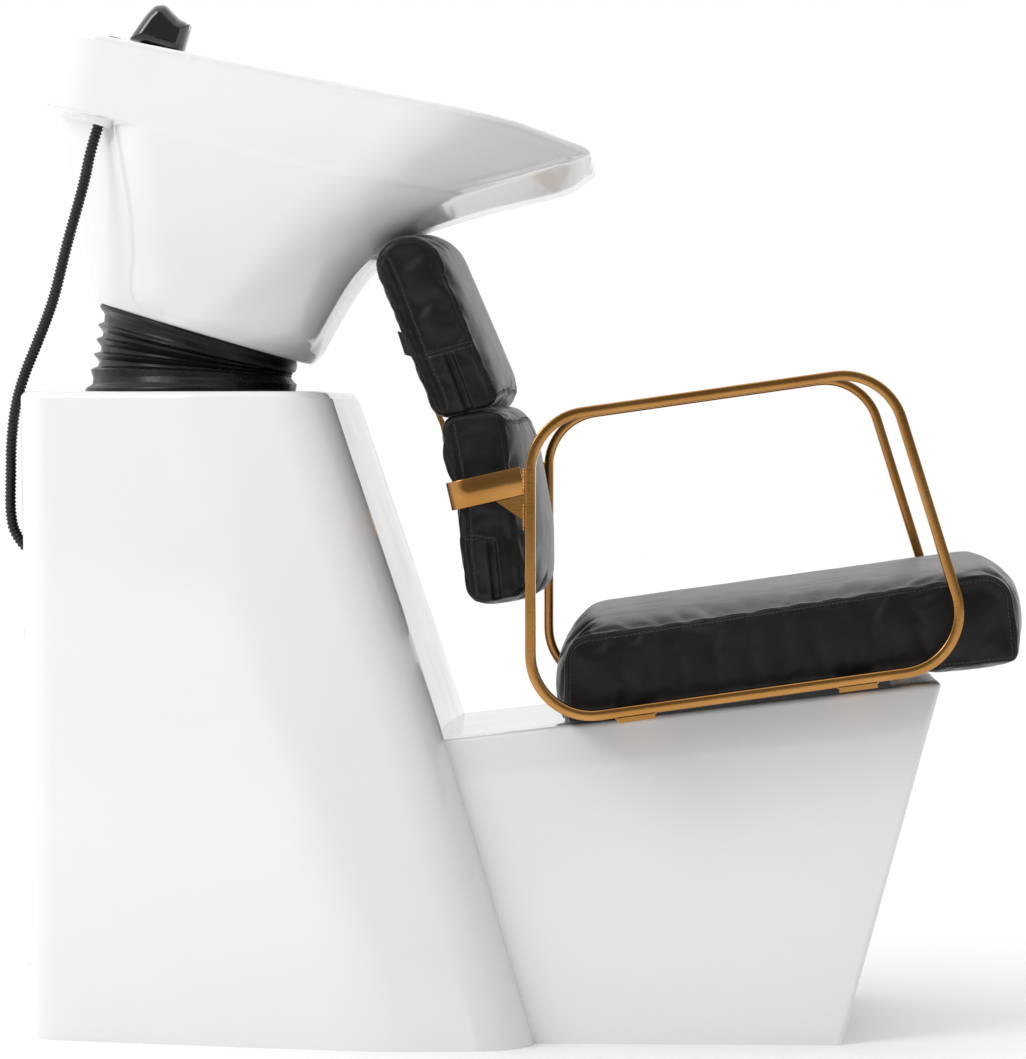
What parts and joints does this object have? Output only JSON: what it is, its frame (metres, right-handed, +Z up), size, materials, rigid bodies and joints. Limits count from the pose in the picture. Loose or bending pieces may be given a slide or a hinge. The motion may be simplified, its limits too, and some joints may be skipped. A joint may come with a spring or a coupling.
{
  "type": "shampoo backwash unit",
  "caption": "Salon shampoo backwash unit: tilting ceramic basin with a mixer tap on a white moulded tower, joined to a black upholstered seat with gold loop armrests.",
  "frame": {"origin": "on the floor, under the middle of the unit's bounding box, hose left out", "axes": "+X points the way the seated client faces, +Y to the client's left, +Z up"},
  "size_m": [1.0449, 0.56, 1.0649],
  "materials": {
    "shell": "white gloss gelcoat over glass-fibre laminate",
    "ceramic": "white glazed ceramic",
    "upholstery": "black leather-look vinyl over foam, lightly grained",
    "gold_frame": "brushed gold-bronze on steel flat bar",
    "black_steel": "black powder coat",
    "zinc_steel": "bright zinc",
    "black_rubber": "black rubber, satin",
    "hose_black": "black ribbed sleeve over a shower hose",
    "brass": "plain turned brass",
    "chrome": "polished",
    "black_handle": "black, high gloss",
    "black_plastic": "black, matt",
    "plywood": "bare plywood",
    "tag_cloth": "woven black label, plain"
  },
  "bodies": {
    "base": {"base_shell": "shell", "rear_service_panel": "shell", "tower_top_plate": "zinc_steel", "pedestal_board": "plywood", "seat_mount_wedge": "black_steel", "cross_bar_rear": "gold_frame", "cross_bar_front": "gold_frame", "armrest_loop_left": "gold_frame", "armrest_loop_right": "gold_frame", "back_band": "gold_frame", "band_gusset_left": "gold_frame", "band_gusset_right": "gold_frame", "back_strap_left": "gold_frame", "back_strap_right": "gold_frame", "seat_board": "plywood", "seat_cushion": "upholstery", "lower_back_board": "plywood", "lower_back_cushion": "upholstery", "upper_back_board": "plywood", "upper_back_cushion": "upholstery", "cushion_tag": "tag_cloth", "tilt_bracket_lower": "black_steel", "pivot_pin_left": "zinc_steel", "pivot_pin_right": "zinc_steel", "friction_washer_left": "black_plastic", "friction_washer_right": "black_plastic", "bellows": "black_rubber", "shower_hose": "hose_black", "hose_union": "brass", "seat_bolt_1": "zinc_steel", "seat_bolt_2": "zinc_steel", "seat_bolt_3": "zinc_steel", "seat_bolt_4": "zinc_steel", "anchor_bolt_1": "zinc_steel", "anchor_bolt_2": "zinc_steel", "anchor_bolt_3": "zinc_steel", "anchor_bolt_4": "zinc_steel", "panel_screw_1": "zinc_steel", "panel_screw_2": "zinc_steel", "panel_screw_3": "zinc_steel", "panel_screw_4": "zinc_steel", "bracket_bolt_1": "zinc_steel", "bracket_bolt_2": "zinc_steel", "bracket_bolt_3": "zinc_steel", "bracket_bolt_4": "zinc_steel"},
    "basin_head": {"basin": "ceramic", "tilt_bracket_upper": "black_steel", "waste_body": "chrome", "waste_nut": "brass", "mixer_body": "black_handle", "mixer_nut": "brass", "shower_holder": "chrome", "shower_holder_nut": "brass"},
    "strainer_cup": {"strainer": "chrome"},
    "swivel_collar": {"mixer_collar": "chrome"},
    "lever": {"mixer_lever": "black_handle"},
    "hand_spray": {"hand_shower": "black_handle", "spray_face": "black_plastic", "hose_ferrule": "chrome"}
  },
  "joints": [
    {"name": "basin_tilt", "type": "hinge", "parent": "base", "child": "basin_head", "pos_m": [-0.357, 0, 0.69], "axis": [0, 1, 0], "range_deg": [-20, 0], "deforming": ["bellows", "shower_hose"]},
    {"name": "lever_swivel", "type": "hinge", "parent": "basin_head", "child": "swivel_collar", "pos_m": [-0.3926, 0, 1.0134], "axis": [0.284, 0, 0.9588], "range_deg": [-45, 45]},
    {"name": "lever_lift", "type": "hinge", "parent": "swivel_collar", "child": "lever", "pos_m": [-0.3686, 0, 1.0136], "axis": [0, 1, 0], "range_deg": [0, 20]},
    {"name": "hand_shower_pull", "type": "slide", "parent": "basin_head", "child": "hand_spray", "axis": [0.284, 0, 0.9588], "range_m": [0, 0.055]},
    {"name": "strainer_lift", "type": "slide", "parent": "basin_head", "child": "strainer_cup", "axis": [0.284, 0, 0.9588], "range_m": [0, 0.08]}
  ]
}
